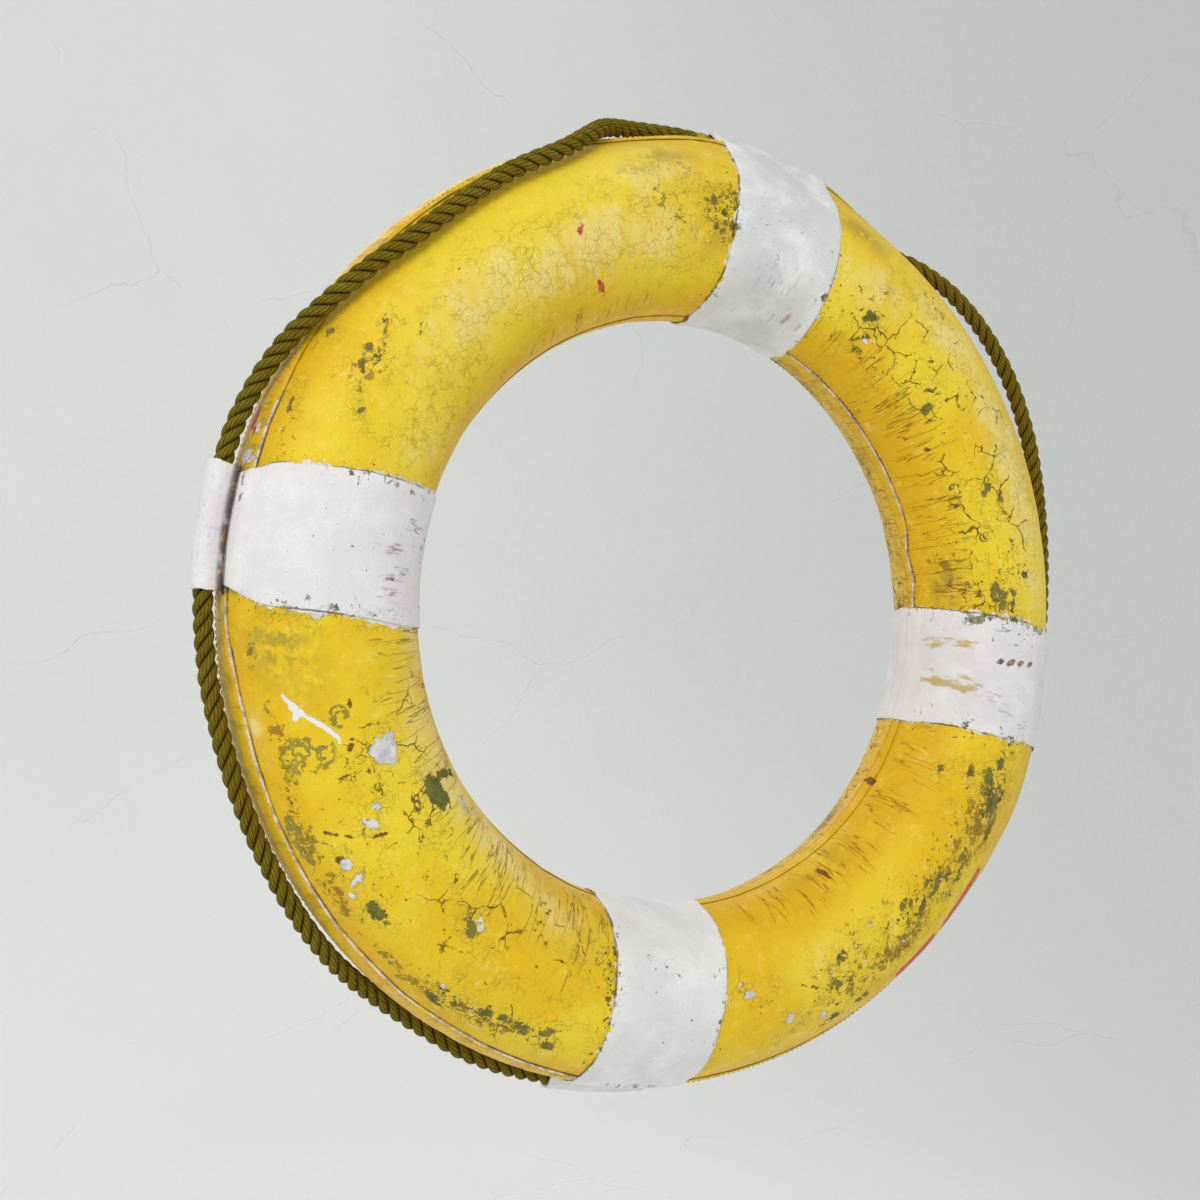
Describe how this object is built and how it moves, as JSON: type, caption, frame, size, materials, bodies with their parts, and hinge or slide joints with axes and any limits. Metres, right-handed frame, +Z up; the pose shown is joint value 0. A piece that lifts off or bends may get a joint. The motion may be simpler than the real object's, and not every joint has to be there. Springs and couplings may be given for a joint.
{
  "type": "ring lifebuoy",
  "caption": "Canvas-covered cork ring lifebuoy with painted bands and a twisted grab line held at the bands by sleeves, its free loops springing back when lifted.",
  "frame": {"origin": "centre of the ring, in the middle of its hole, where a wall bracket holds it", "axes": "+Y along the ring's axis towards its back, so the front faces -Y; +Z up as it hangs; +X to the right seen from the front"},
  "size_m": [0.7649, 0.127, 0.7543],
  "materials": {
    "cork": "matte",
    "dowel_wood": "matte",
    "yellow_canvas": "satin",
    "yellow_tape": "matte",
    "white_canvas": "satin",
    "grab_line": "matte"
  },
  "bodies": {
    "ring": {"cork_block_1": "cork", "cork_block_2": "cork", "cork_block_3": "cork", "cork_block_4": "cork", "cork_block_5": "cork", "cork_block_6": "cork", "cork_block_7": "cork", "cork_block_8": "cork", "core_dowel_1": "dowel_wood", "core_dowel_2": "dowel_wood", "core_dowel_3": "dowel_wood", "core_dowel_4": "dowel_wood", "core_dowel_5": "dowel_wood", "core_dowel_6": "dowel_wood", "core_dowel_7": "dowel_wood", "core_dowel_8": "dowel_wood", "cover_front": "yellow_canvas", "cover_back": "yellow_canvas", "outer_seam_tape": "yellow_tape", "inner_seam_tape": "yellow_tape", "band_top": "white_canvas", "band_left": "white_canvas", "band_bottom": "white_canvas", "band_right": "white_canvas", "becket_sleeve_top": "white_canvas", "becket_sleeve_left": "white_canvas", "becket_sleeve_bottom": "white_canvas", "becket_sleeve_right": "white_canvas", "line_in_sleeve_top": "grab_line", "line_in_sleeve_left": "grab_line", "line_in_sleeve_bottom": "grab_line", "line_in_sleeve_right": "grab_line"},
    "loop_upper_left": {"grab_line_upper_left": "grab_line"},
    "loop_lower_left": {"grab_line_lower_left": "grab_line"},
    "loop_lower_right": {"grab_line_lower_right": "grab_line"},
    "loop_upper_right": {"grab_line_upper_right": "grab_line"}
  },
  "joints": [
    {"name": "upper_left_loop_lift", "type": "hinge", "parent": "ring", "child": "loop_upper_left", "pos_m": [0.02096, 0.01051, 0.37163], "axis": [0.8136, 0.0225, 0.5809], "range_deg": [-50, 3], "stiffness_Nm_per_rad": 0.3},
    {"name": "lower_left_loop_lift", "type": "hinge", "parent": "ring", "child": "loop_lower_left", "pos_m": [-0.373, 0, 0.00018], "axis": [-0.6055, -0.0722, 0.7926], "range_deg": [-40, 2], "stiffness_Nm_per_rad": 0.3},
    {"name": "lower_right_loop_lift", "type": "hinge", "parent": "ring", "child": "loop_lower_right", "pos_m": [-0.00783, 0.03191, -0.36545], "axis": [-0.8228, 0.0726, -0.5637], "range_deg": [-25, 12], "stiffness_Nm_per_rad": 0.3},
    {"name": "upper_right_loop_lift", "type": "hinge", "parent": "ring", "child": "loop_upper_right", "pos_m": [0.37255, 0, -0.0184], "axis": [0.5631, -0.0234, -0.8261], "range_deg": [-15, 45], "stiffness_Nm_per_rad": 0.3}
  ]
}
